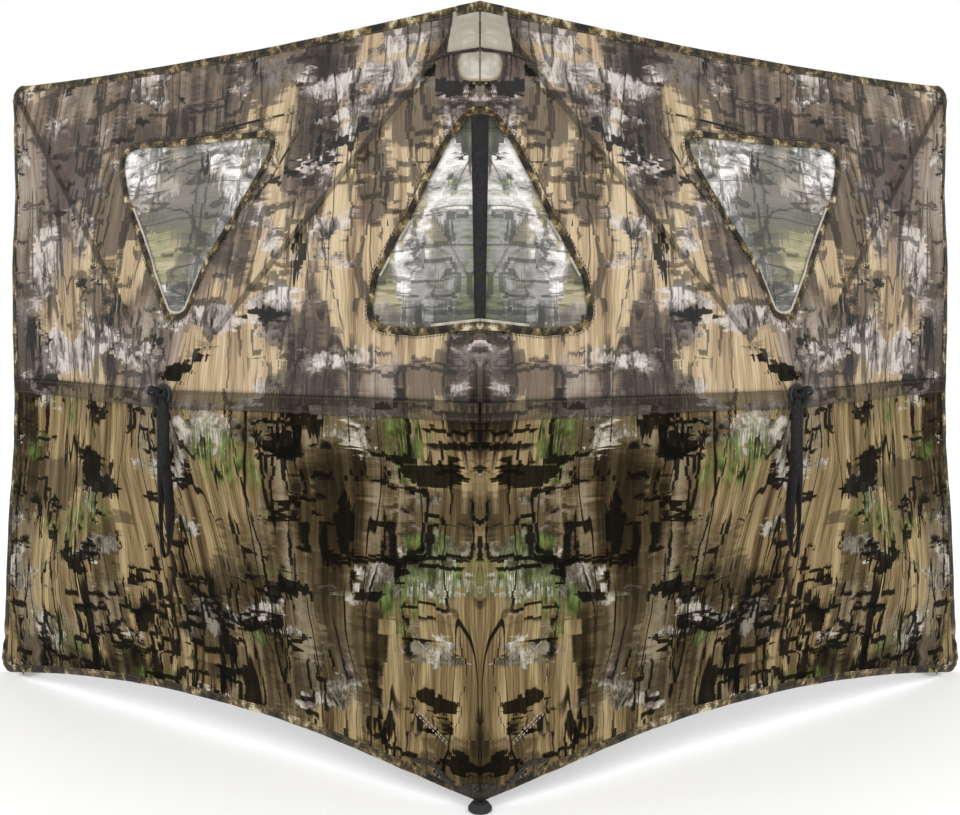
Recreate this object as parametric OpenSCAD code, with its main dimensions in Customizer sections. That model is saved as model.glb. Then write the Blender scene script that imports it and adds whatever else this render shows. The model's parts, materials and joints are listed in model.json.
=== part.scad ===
// Two-panel pop-up ground blind. Each panel is a square of fabric held taut by four sprung
// rods that radiate from a folding hub. The panels join along an upright spine and stand as a V.
// Origin: on the ground under the spine. +Z is up and +Y points to the sheltered side.
// Panel coordinates: u runs outward from the spine, n is the height above the sheet's edge
// plane on the outer side, z is up. A panel is drawn with u along +X and n along -Y.

/* [Panels] */
// Width of one panel, from the spine to the outer edge
panel_w = 947; // [900:1:1000]
// Height of the top edge above the ground
panel_h = 941; // [900:1:1000]
// Angle of each panel behind the line of the two panels laid flat
panel_angle = 37.2; // [30:0.1:45]
// Thickness of the coated fabric
fabric_t = 1.0; // [0.6:0.1:1.5]
// Height of the popped-out centre of a panel above its edges
crown = 76; // [70:1:90]
// Height of the lower hem at the spine
hem_spine = 11; // [0:1:15]
// Height of the lower hem in the middle of a panel
hem_arch = 48; // [20:1:60]
// How far the lower outer corner flares past the upper one
corner_flare = 24; // [0:1:30]

/* [Windows] */
// Height of the top edge of the side window
side_top = 811; // [790:1:830]
// Height of the lowest corner of the side window
side_low = 573; // [560:1:600]
// Distance from the hub line to either upper corner of the side window
side_half = 155; // [140:1:165]
// Height of the top of the centre window
mid_top = 809; // [790:1:830]
// Height of the bottom of the centre window
mid_low = 562; // [550:1:580]
// Half width of the centre window at its base
mid_half = 140; // [120:1:150]
// Half width of the centre window at its top
mid_tip = 16; // [10:1:24]
// Corner radius of the windows
window_r = 16; // [10:1:20]
// Thickness of the window netting
net_t = 0.6; // [0.4:0.1:1]
// Overlap of the netting past the opening
net_lap = 9; // [6:1:12]

/* [Rods] */
// Diameter of a fibreglass rod
rod_d = 8; // [7:0.5:8.5]
// Inset of the rod tips from the spine and the edges
tip_inset = 36; // [34:1:42]
// Depth of the rod tips behind the edge plane
tip_depth = 7; // [7:0.5:9]
// Diameter of the moulded cap on each rod tip
cap_d = 12; // [11.5:0.5:12.5]
// Length of the cap
cap_len = 24; // [18:1:30]
// Diameter of the metal ferrule at the hub end
ferrule_d = 11; // [10:0.5:11]
// Length of the ferrule
ferrule_len = 44; // [35:1:60]

/* [Hub] */
// Distance of the knuckle pins from the hub axis
pin_radius = 32; // [31:0.5:34]
// Height of the knuckle pins above the edge plane
pin_height = 60; // [56:1:62]
// Diameter of the knuckle pins
pin_d = 4; // [3.5:0.5:4.5]
// Outside diameter of the hub body
hub_d = 84; // [80:1:88]
// Thickness of the hub's base disc
base_t = 3; // [2:0.5:4]
// Depth of the base disc below the knuckle pins
base_drop = 12; // [11:0.5:14]
// Radius of the solid core between the ears
core_r = 22; // [18:1:23]
// Thickness of one ear
ear_t = 3.5; // [3:0.5:4]
// Side clearance between an ear and the ferrule's eye
ear_gap = 0.5; // [0.3:0.1:0.8]
// Radius of the ear's head round the pin
ear_r = 7; // [6:0.5:8]
// Thickness of the domed cover
cover_t = 5; // [4.5:0.5:7]
// Running clearance on pins and bolts
running = 0.04; // [0.02:0.01:0.08]
// Diameter of the hub bolt
bolt_d = 5; // [4:0.5:6]
// Diameter of the outer hub button
button_d = 30; // [26:1:32]

/* [Straps] */
// Length of the pull strap below the hub
pull_len = 212; // [190:1:230]
// Width of the pull strap
pull_w = 15; // [12:1:18]
// Width of the centre strap
strap_w = 21; // [18:1:25]
// Radius of the knot that ties the pull strap to the hub
knot_r = 5.5; // [4:0.5:7]
// Thickness of the webbing
webbing_t = 1.6; // [1:0.1:2]
// Distance of the centre strap's ends from the top and bottom of its window
strap_end = 13; // [12:1:20]

/* [Foot and stakes] */
// Diameter of the foot under the spine
foot_d = 28; // [24:1:30]
// Height of the foot
foot_h = 10; // [8:0.5:10.5]
// Shank radius of the rivet that carries the rod socket in its gusset
rivet_r = 2; // [1.5:0.5:2.5]
// Bore radius of the stake grommet
grommet_r = 5; // [4:0.5:6]
// Distance of the grommet behind the sheet
stake_back = 18; // [16:1:24]

/* [Hidden] */
$fn = 48;
half_w = panel_w / 2;
half_h = panel_h / 2;
tip_span = half_w - tip_inset;
gap = 0.4;
big = 2000;
rod_r = rod_d / 2;
cap_r = cap_d / 2;
sleeve_r = cap_r - 0.4;
ferrule_r = ferrule_d / 2;
pin_r = pin_d / 2;
bolt_r = bolt_d / 2;
eye_w = 7;
tip_reach = tip_span * sqrt(2) - pin_radius;
rod_drop = pin_height + tip_depth;
rod_len = norm([tip_reach, rod_drop]);
rod_tilt = atan2(rod_drop, tip_reach);
tip_low = half_h - tip_span;
crown_in_hub = crown - pin_height;
rod_start = 10;
rod_fit = 0.02;
lap = 0.5;
base_z = -base_drop;
ear_in = eye_w / 2 + ear_gap;
knot_rise = crown + 12;
socket_t = 1.2;
gusset_z = tip_low - cap_r - 7;
tab_z = 8;
stake_u = panel_w - 25;

// Each corner of a panel: name, side of the hub along u, side of the hub along z
CORNERS = [["lower_inner", -1, -1], ["upper_inner", -1, 1], ["upper_outer", 1, 1], ["lower_outer", 1, -1]];
CORNER_PARTS = ["rod", "ferrule", "cap", "fabric"];
PANEL_PARTS = ["hub_body", "hub_cover", "hub_pins", "hub_bolt", "hub_button", "pull_strap",
    "corner_gusset", "tip_socket", "mid_window_net", "side_net_inner", "side_net_outer",
    "stake_tab", "stake_grommet"];

// ---- frames ----

// Places a panel's own frame in the assembly
module on_panel(side) {
    if (side == "right")
        rotate([0, 0, panel_angle]) children();
    else
        mirror([1, 0, 0]) rotate([0, 0, panel_angle]) children();
}

// Hub frame: X along u, Y up, Z along n, origin in the pin plane on the hub axis
module on_hub() {
    translate([half_w, -pin_height, half_h]) rotate([90, 0, 0]) children();
}

// Arm frame: X outward along the rod's direction, Z along n, origin on the hub axis
module on_arm(c) {
    on_hub() rotate([0, 0, atan2(c[2], c[1])]) children();
}

// Rod frame: X along the rod from the knuckle pin to the tip
module on_rod(c) {
    on_arm(c) translate([pin_radius, 0, 0]) rotate([0, rod_tilt, 0]) children();
}

// ---- fabric ----

// A straight run of the sheet's outline is closed by a rounded corner
function arc(centre, r, from, to, steps = 6) =
    [for (i = [0:steps]) let (a = from + (to - from) * i / steps) centre + r * [cos(a), sin(a)]];

// Lower hem: a shallow arch between the spine and the outer corner
function hem(u) = let (t = u / panel_w)
    (1 - t) * hem_spine + 4 * t * (1 - t) * (hem_arch - hem_spine / 2);

// Outer edge: straight, leaning out towards the ground
function edge(z) = panel_w - 4 + corner_flare * pow(1 - z / panel_h, 3);

module panel_outline() {
    steps = 16;
    polygon(concat(
        [for (i = [0:steps]) let (u = lap + (panel_w - 12 - lap) * i / steps) [u, hem(u)]],
        [for (i = [0:steps]) let (z = 12 + (panel_h - 30) * i / steps) [edge(z), z]],
        arc([panel_w - 22, panel_h - 18], 18, 0, 90),
        [[lap, panel_h]]));
}

// Triangle with rounded corners, wound anticlockwise
module rounded_triangle(a, b, c, r) {
    offset(r) offset(-r) polygon([a, b, c]);
}

module side_window(grow = 0) {
    offset(delta = grow)
        rounded_triangle([half_w - side_half, side_top], [half_w, side_low],
            [half_w + side_half, side_top], window_r);
}

module mid_window(grow = 0) {
    offset(delta = grow) offset(window_r) offset(-window_r)
        polygon([[-mid_half, mid_low], [mid_half, mid_low], [mid_tip, mid_top], [-mid_tip, mid_top]]);
}

// A flat sheet through the hub's crown and one edge of the panel. turn points from the hub
// to that edge: 0 outer, 90 top, 180 spine, 270 hem. rise lifts it along n.
module facet_sheet(turn, thick, rise = 0) {
    reach = turn % 180 == 0 ? half_w : half_h;
    slope = atan2(crown, reach);
    translate([half_w, -crown - rise, half_h]) rotate([90, 0, 0]) rotate([0, 0, turn])
        rotate([0, slope, 0]) translate([-20, -big / 2, -thick / 2]) cube([big, big, thick]);
}

// The part of a sheet that lies above an outline in the panel's u-z plane
module above(margin = 300) {
    translate([0, margin, 0]) rotate([90, 0, 0]) linear_extrude(2 * margin) children();
}

// Wedge of the panel between the hub and one edge, cut to one side of the hub
module wedge(c, vertical) {
    s = vertical ? [0, c[2] * half_h * 2] : [c[1] * half_w * 2, 0];
    polygon([[half_w, half_h] + gap / 2 * [c[1], c[2]],
        [half_w + c[1] * gap / 2, half_h + c[2] * gap / 2] + s,
        [half_w + c[1] * half_w * 2, half_h + c[2] * half_h * 2]
            + (vertical ? [lap * c[1], 0] : [0, lap * c[2]])]);
}

// One quarter of a panel's cloth: two flat facets that meet over a rod
module fabric_quarter(c) {
    difference() {
        union() {
            intersection() {
                facet_sheet(c[2] > 0 ? 90 : 270, fabric_t);
                above() intersection() {
                    panel_outline();
                    wedge(c, true);
                }
            }
            intersection() {
                facet_sheet(c[1] > 0 ? 0 : 180, fabric_t);
                above() intersection() {
                    panel_outline();
                    wedge(c, false);
                }
            }
        }
        if (c[2] > 0) above() side_window();
        if (c[1] < 0 && c[2] > 0) above() mid_window();
        translate([half_w, 0, half_h]) rotate([90, 0, 0]) cylinder(r = 14, h = 200);
    }
}

// Half of the side window's netting, behind the cloth of the top facet
module side_net(outer) {
    intersection() {
        facet_sheet(90, net_t, -(fabric_t + net_t) / 2 - gap);
        above() intersection() {
            side_window(net_lap);
            translate([half_w + (outer ? gap / 2 : -big - gap / 2), 0]) square([big, panel_h]);
        }
    }
}

// Half of the centre window's netting, behind the cloth of the spine facet
module mid_net() {
    intersection() {
        facet_sheet(180, net_t, -(fabric_t + net_t) / 2 - gap);
        above() intersection() {
            mid_window(net_lap);
            translate([strap_w / 2 + 7.5, 0]) square([big, panel_h]);
        }
    }
}

// ---- rods ----

module rod(c) {
    on_rod(c) translate([rod_start, 0, 0]) rotate([0, 90, 0])
        cylinder(r = rod_r, h = rod_len - rod_start - 1);
}

// Metal sleeve on the rod, with a flattened eye for the knuckle pin
module ferrule(c) {
    on_rod(c) difference() {
        union() {
            rotate([90, 0, 0]) cylinder(r = ferrule_r, h = eye_w, center = true);
            translate([0, -eye_w / 2, -ferrule_r + 1]) cube([rod_start, eye_w, ferrule_d - 2]);
            translate([rod_start - 3, 0, 0]) rotate([0, 90, 0]) cylinder(r = ferrule_r, h = ferrule_len);
        }
        rotate([90, 0, 0]) cylinder(r = pin_r + running, h = eye_w * 2, center = true);
        translate([rod_start - rod_fit, 0, 0]) rotate([0, 90, 0]) cylinder(r = rod_r + rod_fit, h = ferrule_len);
    }
}

// Ball-ended cap on the rod tip. The ball is turned about the axis that the rod swings on.
module tip_cap(c) {
    on_rod(c) difference() {
        union() {
            translate([rod_len, 0, 0]) rotate([90, 0, 0]) rotate_extrude()
                polygon([for (a = [-90:12:90]) cap_r * [cos(a), sin(a)]]);
            translate([rod_len - cap_len, 0, 0]) rotate([0, 90, 0]) cylinder(r = sleeve_r, h = cap_len);
        }
        translate([rod_len - cap_len - 1, 0, 0]) rotate([0, 90, 0])
            cylinder(r = rod_r + rod_fit, h = cap_len + rod_fit);
    }
}

// ---- hub ----

// Outline of one ear, from the side: a foot on the core and base, and a round head at the pin
module ear_outline() {
    translate([pin_radius, 0]) circle(r = ear_r);
    polygon([[core_r - 5, base_z + 1], [pin_radius + ear_r - 1, base_z + 1],
        [pin_radius + ear_r - 1, 0], [pin_radius, ear_r - 1], [core_r - 5, ear_r - 1]]);
}

// Moulded hub: base disc, solid core and a pair of ears for each rod
module hub_body() {
    on_hub() difference() {
        union() {
            translate([0, 0, base_z]) cylinder(d = hub_d, h = base_t);
            translate([0, 0, base_z + 1]) cylinder(r = core_r, h = ear_r - base_z);
            cylinder(r = 12, h = crown_in_hub - 2);
            for (c = CORNERS, s = [-1, 1])
                rotate([0, 0, atan2(c[2], c[1])]) translate([0, s * (ear_in + ear_t / 2), 0])
                    rotate([90, 0, 0]) linear_extrude(ear_t, center = true) ear_outline();
        }
        for (c = CORNERS)
            rotate([0, 0, atan2(c[2], c[1])]) translate([pin_radius, 0, 0]) rotate([90, 0, 0])
                cylinder(r = pin_r + running, h = 2 * (ear_in + ear_t) + 1, center = true);
        translate([0, 0, base_z - 1]) cylinder(r = bolt_r + running, h = 60);
    }
}

// Headed knuckle pins, one through each pair of ears
module hub_pins() {
    out = ear_in + ear_t;
    on_hub() for (c = CORNERS)
        rotate([0, 0, atan2(c[2], c[1])]) translate([pin_radius, 0, 0]) rotate([90, 0, 0]) {
            cylinder(r = pin_r, h = 2 * out + 0.4, center = true);
            for (s = [0, 1]) mirror([0, 0, s]) translate([0, 0, out + 0.1])
                cylinder(r = pin_r + 1.2, h = 1.2);
        }
}

// Domed cover on the sheltered side of the hub
module hub_cover() {
    on_hub() difference() {
        translate([0, 0, base_z - cover_t - 0.1]) rotate_extrude()
            polygon(concat([[0, cover_t], [0, 0]],
                [for (a = [0:15:90]) [hub_d / 2 - 8 + 6 * sin(a), cover_t - 1 - (cover_t - 1) * cos(a)]],
                [[hub_d / 2 - 2, cover_t]]));
        translate([0, 0, base_z - cover_t - 1]) cylinder(r = bolt_r + running, h = 20);
        translate([0, 0, base_z - cover_t - 1]) cylinder(r = bolt_r * 2 + running, h = 3.5);
    }
}

// Bolt that clamps cover, hub, cloth and button together
module hub_bolt() {
    on_hub() {
        translate([0, 0, base_z - cover_t - 0.1]) cylinder(r = bolt_r * 2, h = 2.4);
        translate([0, 0, base_z - cover_t]) cylinder(r = bolt_r, h = crown_in_hub - base_z + cover_t + 4);
    }
}

// Button on the outer side, over the crown of the cloth
module hub_button() {
    on_hub() difference() {
        translate([0, 0, crown_in_hub + 1]) rotate_extrude()
            polygon([[0, 0], [button_d / 2, 0], [button_d / 2, 1.5], [button_d / 2 - 2, 3.5], [0, 5]]);
        translate([0, 0, crown_in_hub]) cylinder(r = bolt_r + running, h = 4.5);
    }
}

// ---- straps ----

// Pull strap: a knot across the hub, a doubled length and an open loop at the end
module pull_strap() {
    loop_len = pull_len * 0.45;
    translate([half_w, -knot_rise, half_h]) {
        rotate([0, 90, 0]) cylinder(r = knot_r, h = button_d - 4, center = true);
        difference() {
            translate([-pull_w / 2, -webbing_t, -pull_len]) cube([pull_w, webbing_t * 2, pull_len]);
            translate([-pull_w / 2 + 3.5, -webbing_t - 1, -pull_len + 4])
                cube([pull_w - 7, webbing_t * 2 + 2, loop_len]);
        }
    }
}

// Webbing strap that hangs in the centre window, in front of its netting
module centre_strap() {
    translate([-strap_w / 2, 2, mid_low + strap_end])
        cube([strap_w, webbing_t, mid_top - mid_low - 2 * strap_end]);
}

// ---- spine foot, gussets and stake loops ----

// Moulded foot under the spine
module foot_cap() {
    rotate_extrude()
        polygon([[0, 0], [foot_d / 2 - 2, 0], [foot_d / 2, 2], [foot_d / 2, foot_h - 5],
            [foot_d / 2 - 4, foot_h], [0, foot_h]]);
}

// Webbing gusset that ties the spine to the lower inner corner, with a hole for the rivet
module corner_gusset() {
    difference() {
        translate([5, 0, gusset_z]) linear_extrude(webbing_t)
            polygon([[0, 1], [tip_inset + 8, 1], [tip_inset + 8, tip_depth * 2 + 4], [8, 12], [0, 4]]);
        translate([tip_inset, tip_depth, gusset_z - 1]) cylinder(r = rivet_r + running, h = webbing_t + 2);
    }
}

// Socket that carries the lower inner rod tip and turns on a rivet through the gusset. It is
// open towards the side that the rod folds to.
module tip_socket() {
    inner = cap_r + 0.25;
    rivet_top = -inner - socket_t / 2;
    gusset = gusset_z - tip_low;
    shoulder = gusset + webbing_t + 0.1;
    translate([tip_inset, tip_depth, tip_low]) {
        difference() {
            rotate_extrude()
                polygon(concat(
                    [for (a = [-90:10:-50]) inner * [cos(a), sin(a)]],
                    [for (a = [-50:-10:-90]) (inner + socket_t) * [cos(a), sin(a)]]));
            translate([-20, 1, -20]) cube(40);
        }
        translate([0, 0, shoulder]) cylinder(r = rivet_r + 1.5, h = rivet_top - shoulder);
        translate([0, 0, gusset - 0.5]) cylinder(r = rivet_r, h = rivet_top - gusset);
        translate([0, 0, gusset - 1.3]) cylinder(r = rivet_r + 1.8, h = 1.2);
    }
}

// Webbing tab behind the lower outer corner
module stake_tab() {
    difference() {
        translate([stake_u - 14, 1.5, tab_z]) cube([28, stake_back + 12, webbing_t]);
        translate([stake_u, stake_back, tab_z - 1]) cylinder(r = grommet_r + 2 + rod_fit, h = webbing_t + 2);
    }
}

// Brass grommet in the tab
module stake_grommet() {
    translate([stake_u, stake_back, tab_z]) difference() {
        union() {
            translate([0, 0, -0.8]) cylinder(r = grommet_r + 2, h = webbing_t + 1.6);
            for (z = [-0.85, webbing_t + 0.05]) translate([0, 0, z]) cylinder(r = grommet_r + 4.5, h = 0.8);
        }
        translate([0, 0, -5]) cylinder(r = grommet_r, h = 10);
    }
}

// ---- assembly ----

module corner_part(c, part) {
    if (part == "rod") color("dimgray") rod(c);
    if (part == "ferrule") color("silver") ferrule(c);
    if (part == "cap") color("black") tip_cap(c);
    if (part == "fabric") color(c[2] > 0 ? "tan" : "darkolivegreen") fabric_quarter(c);
}

module panel_part(part) {
    if (part == "hub_body") color("black") hub_body();
    if (part == "hub_cover") color("dimgray") hub_cover();
    if (part == "hub_pins") color("silver") hub_pins();
    if (part == "hub_bolt") color("silver") hub_bolt();
    if (part == "hub_button") color("black") hub_button();
    if (part == "pull_strap") color("black") pull_strap();
    if (part == "corner_gusset") color("black") corner_gusset();
    if (part == "tip_socket") color("dimgray") tip_socket();
    if (part == "mid_window_net") color("gray") mid_net();
    if (part == "side_net_inner") color("gray") side_net(false);
    if (part == "side_net_outer") color("gray") side_net(true);
    if (part == "stake_tab") color("black") stake_tab();
    if (part == "stake_grommet") color("gold") stake_grommet();
}

color("black") foot_cap();
color("black") centre_strap();
for (side = ["left", "right"]) {
    for (c = CORNERS, part = CORNER_PARTS)
        on_panel(side) corner_part(c, part);
    for (part = PANEL_PARTS)
        on_panel(side) panel_part(part);
}
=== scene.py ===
"""Looks of the pop-up ground blind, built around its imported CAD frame. Metres, +Z up.

The blind is two cloth panels that meet at an upright spine. A point of a panel is given as
(u, n, z): u runs outward from the spine, n is the height above the panel's edge plane on the
outer side, and z is up. Each panel is cut in four quarters, and each quarter rides on its rod.
Pieces are worked out once for the right panel and mirrored for the left.
"""
import json
import math

import bmesh
import bpy
import numpy as np
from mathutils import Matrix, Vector
from mathutils.geometry import delaunay_2d_cdt


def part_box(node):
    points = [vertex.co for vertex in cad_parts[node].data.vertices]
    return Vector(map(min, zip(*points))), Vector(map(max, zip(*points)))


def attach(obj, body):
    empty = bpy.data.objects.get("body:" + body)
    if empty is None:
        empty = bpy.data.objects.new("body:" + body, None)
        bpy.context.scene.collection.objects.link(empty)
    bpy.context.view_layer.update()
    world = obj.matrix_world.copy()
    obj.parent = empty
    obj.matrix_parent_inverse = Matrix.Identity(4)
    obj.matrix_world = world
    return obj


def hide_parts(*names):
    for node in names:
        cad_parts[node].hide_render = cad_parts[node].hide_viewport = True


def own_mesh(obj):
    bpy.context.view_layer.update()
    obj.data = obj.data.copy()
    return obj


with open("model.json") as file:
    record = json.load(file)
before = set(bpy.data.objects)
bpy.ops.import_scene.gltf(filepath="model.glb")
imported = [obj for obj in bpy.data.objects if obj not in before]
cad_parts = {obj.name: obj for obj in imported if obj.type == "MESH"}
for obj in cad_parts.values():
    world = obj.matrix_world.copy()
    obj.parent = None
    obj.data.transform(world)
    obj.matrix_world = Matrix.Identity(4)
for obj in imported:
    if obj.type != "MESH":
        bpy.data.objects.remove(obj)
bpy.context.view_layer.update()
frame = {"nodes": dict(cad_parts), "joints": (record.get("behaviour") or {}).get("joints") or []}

JOINTS = {j["name"]: j for j in frame["joints"]}
SIDES = ("left", "right")
QUARTERS = ("lower_inner", "upper_inner", "upper_outer", "lower_outer")
SCENE = bpy.context.scene

# ---- places, from the frame

Z = Vector((0, 0, 1))
U = -Vector(JOINTS["right_strap_swing"]["axis"])
N = U.cross(Z)
KNOT = Vector(JOINTS["right_strap_swing"]["pos_m"])
HUB_U = KNOT.dot(U)
HUB_Z = KNOT.z
KNOT_N = KNOT.dot(N)
CROWN = KNOT_N - 0.012  # the strap swings 12 mm over the crown of the cloth
TIP = Vector(JOINTS["right_fold"]["pos_m"])
TIP_N = TIP.dot(N)
TIP_REACH = HUB_U - TIP.dot(U)
TIP_AWAY = TIP_REACH * math.sqrt(2)  # along the rod, from the hub
KNUCKLE = Vector(JOINTS["right_upper_outer_knuckle"]["pos_m"])
KNUCKLE_N = KNUCKLE.dot(N)
KNUCKLE_R = math.hypot(KNUCKLE.dot(U) - HUB_U, KNUCKLE.z - HUB_Z)
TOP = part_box("right_upper_inner_fabric")[1].z
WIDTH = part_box("right_upper_outer_fabric")[1].x / U.x
STRAP_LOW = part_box("right_pull_strap")[0].z
CENTRE_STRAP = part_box("centre_strap")
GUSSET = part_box("right_corner_gusset")
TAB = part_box("right_stake_tab")
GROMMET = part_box("right_stake_grommet")

# ---- design values of the cloth

GRID = 0.005  # spacing of the cloth's mesh
CLOTH_T = 0.0008
SEAM_Z = 0.4755  # level seam between the skirt and the see-through cloth
HEM_SPINE = 0.011  # height of the hem at the spine
HEM_ARCH = 0.047  # and in the middle of its arch
TOP_SAG = 0.010
CORNER_R = 0.020
SIDE_WINDOW = ((0.3120, 0.8125), (0.4300, 0.6500), (0.4610, 0.5765),
               (0.4900, 0.5765), (0.6130, 0.7420), (0.6480, 0.8175))
MID_WINDOW = ((0.0, 0.5680), (0.0900, 0.5580), (0.1560, 0.5640), (0.1420, 0.6240),
              (0.0478, 0.7715), (0.0150, 0.8120), (0.0, 0.8125))
WINDOW_R = 0.024
RIM_W = 0.0095  # bound rim of a window
BIND_W, BIND_T = 0.012, 0.0030  # binding of the panel's edge
BIND_IN = 0.0042  # from the edge to the binding's middle
NET_LAP = 0.009  # netting sewn on beyond the window's edge
NET_T = 0.0004
PATCH_T = 0.0009
WEBBING_T = 0.0012
BEHIND = CLOTH_T + 0.0008  # depth of webbing sewn on the sheltered side
BALL_R = 0.0072  # moulded end of a rod
TIE_W, TIE_ROOM = 0.018, 0.0052  # loops round the rods, and their reach behind a rod's middle
ROOT2 = math.sqrt(2)


def spread(side, u, n, z):
    """Points of the row frame, one to a row, at the panel coordinates (u, n, z)."""
    u, n, z = np.broadcast_arrays(np.asarray(u, float), np.asarray(n, float), np.asarray(z, float))
    points = u[..., None] * np.array(U) + n[..., None] * np.array(N) + z[..., None] * np.array(Z)
    if side == "left":
        points = points * (-1, 1, 1)
    return points.reshape(-1, 3)


def at(side, u, n, z):
    """One point of the row frame as a vector."""
    return Vector(spread(side, u, n, z)[0])


# ---- smooth noise, the same every run

LATTICES = {}


def noise(x, y, seed):
    """Smooth value noise in -1..1 with one feature per unit."""
    if seed not in LATTICES:
        LATTICES[seed] = np.random.default_rng(seed).uniform(-1, 1, (64, 64))
    grid = LATTICES[seed]
    x, y = np.broadcast_arrays(np.asarray(x, float), np.asarray(y, float))
    size = len(grid)
    xi, yi = np.floor(x).astype(int), np.floor(y).astype(int)
    fx, fy = x - xi, y - yi
    fx, fy = fx * fx * (3 - 2 * fx), fy * fy * (3 - 2 * fy)
    a = grid[xi % size, yi % size]
    b = grid[(xi + 1) % size, yi % size]
    c = grid[xi % size, (yi + 1) % size]
    d = grid[(xi + 1) % size, (yi + 1) % size]
    return (a * (1 - fx) + b * fx) * (1 - fy) + (c * (1 - fx) + d * fx) * fy


def smooth(x, low, high):
    """0 below low, 1 above high, smooth between."""
    t = np.clip((np.asarray(x, float) - low) / (high - low), 0, 1)
    return t * t * (3 - 2 * t)


# ---- outlines


def hem(u):
    t = np.asarray(u) / WIDTH
    return (1 - t) * HEM_SPINE + 4 * t * (1 - t) * (HEM_ARCH - HEM_SPINE / 2) + 0.003 * t**2


def top_edge(u):
    t = np.asarray(u) / WIDTH
    return TOP - TOP_SAG * 4 * t * (1 - t)


def outer_edge(z):
    t = np.asarray(z) / TOP
    flare = 0.037 * (1 - t) ** 4 - 0.003 * t**8
    return WIDTH - 0.007 + flare + 0.003 * np.cos(2 * math.pi * (t - 0.65) / 0.4)


def arc_points(centre, r, a0, a1, steps=9):
    angles = np.radians(np.linspace(a0, a1, steps))
    return [(centre[0] + r * math.cos(a), centre[1] + r * math.sin(a)) for a in angles]


def round_corners(points, r, steps=7):
    """An open line whose inner corners are replaced by curves of about radius r."""
    out = [tuple(points[0])]
    for a, p, b in zip(points, points[1:], points[2:]):
        a, p, b = Vector(a), Vector(p), Vector(b)
        da, db = (a - p).normalized(), (b - p).normalized()
        run = min(r / math.tan(da.angle(db) / 2), (a - p).length * 0.45, (b - p).length * 0.45)
        s, e = p + da * run, p + db * run
        ts = [k / steps for k in range(steps + 1)]
        out += [tuple((1 - t) ** 2 * s + 2 * t * (1 - t) * p + t * t * e) for t in ts]
    return out + [tuple(points[-1])]


def resample(points, step, closed=False):
    """The same line with points about step apart."""
    pts = [Vector(p) for p in points]
    if closed:
        pts.append(pts[0])
    out = []
    for a, b in zip(pts, pts[1:]):
        pieces = max(1, int(round((b - a).length / step)))
        out += [a.lerp(b, k / pieces) for k in range(pieces)]
    if not closed:
        out.append(pts[-1])
    return [tuple(p) for p in out]


def edge_line(steps=80):
    """The outer edge of a panel in (u, z), anticlockwise from the foot of the spine to its top."""
    low, high = float(outer_edge(CORNER_R)), float(outer_edge(TOP - CORNER_R))
    bottom = [(u, float(hem(u))) for u in np.linspace(0, low - CORNER_R - 0.004, steps)]
    lift = float(hem(low - CORNER_R))
    corner_low = arc_points((low - CORNER_R, CORNER_R + lift), CORNER_R, -80, 0)
    side = [(float(outer_edge(z)), z) for z in np.linspace(CORNER_R + 0.012, TOP - CORNER_R - 0.01, steps)]
    corner_high = arc_points((high - CORNER_R, float(top_edge(WIDTH)) - CORNER_R), CORNER_R, 0, 88)
    top = [(u, float(top_edge(u))) for u in np.linspace(high - CORNER_R - 0.01, 0, steps)]
    return bottom + corner_low + side + corner_high + top


SIDE_LINE = round_corners(SIDE_WINDOW[-1:] + SIDE_WINDOW + SIDE_WINDOW[:1], WINDOW_R)[1:-1]
MID_LINE = round_corners(MID_WINDOW, WINDOW_R)
MID_HOLE = MID_LINE + [(-0.1, MID_WINDOW[-1][1]), (-0.1, MID_WINDOW[0][1])]

# ---- the cloth's surface


def soft_min(values, k):
    """Smallest of the arrays, rounded where two are close."""
    stack = np.stack(values)
    low = stack.min(0)
    return low - k * np.log(np.exp(-(stack - low) / k).sum(0))


def distance_to_line(u, z, points):
    """Distance from each (u, z) to a polyline."""
    best = np.full(np.shape(u), 9.0)
    for a, b in zip(points, points[1:]):
        du, dz = b[0] - a[0], b[1] - a[1]
        t = np.clip(((u - a[0]) * du + (z - a[1]) * dz) / max(du * du + dz * dz, 1e-12), 0, 1)
        best = np.minimum(best, np.hypot(u - a[0] - t * du, z - a[1] - t * dz))
    return best


PUCKER_LINES = (
    resample(SIDE_LINE, 0.03, closed=True) + [SIDE_LINE[0]],
    resample(MID_LINE, 0.03),
)


def puckers(u, z):
    """Small gathers where the cloth is sewn to a binding."""
    relief = np.zeros(np.shape(u))
    for i, line in enumerate(PUCKER_LINES):
        away = distance_to_line(u, z, line)
        relief += 0.0012 * np.exp(-away / 0.016) * noise(u * 55, z * 55, 31 + i)
    relief += 0.0010 * np.exp(-np.abs(z - SEAM_Z) / 0.014) * noise(u * 70, z * 12, 33)
    relief += 0.0015 * np.exp(-np.abs(z - hem(u)) / 0.022) * noise(u * 42, z * 10, 34)
    relief += 0.0010 * np.exp(-np.abs(top_edge(u) - z) / 0.018) * noise(u * 45, z * 10, 35)
    relief += 0.0011 * np.exp(-np.abs(WIDTH - u) / 0.020) * noise(u * 9, z * 46, 36)
    return relief


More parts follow.
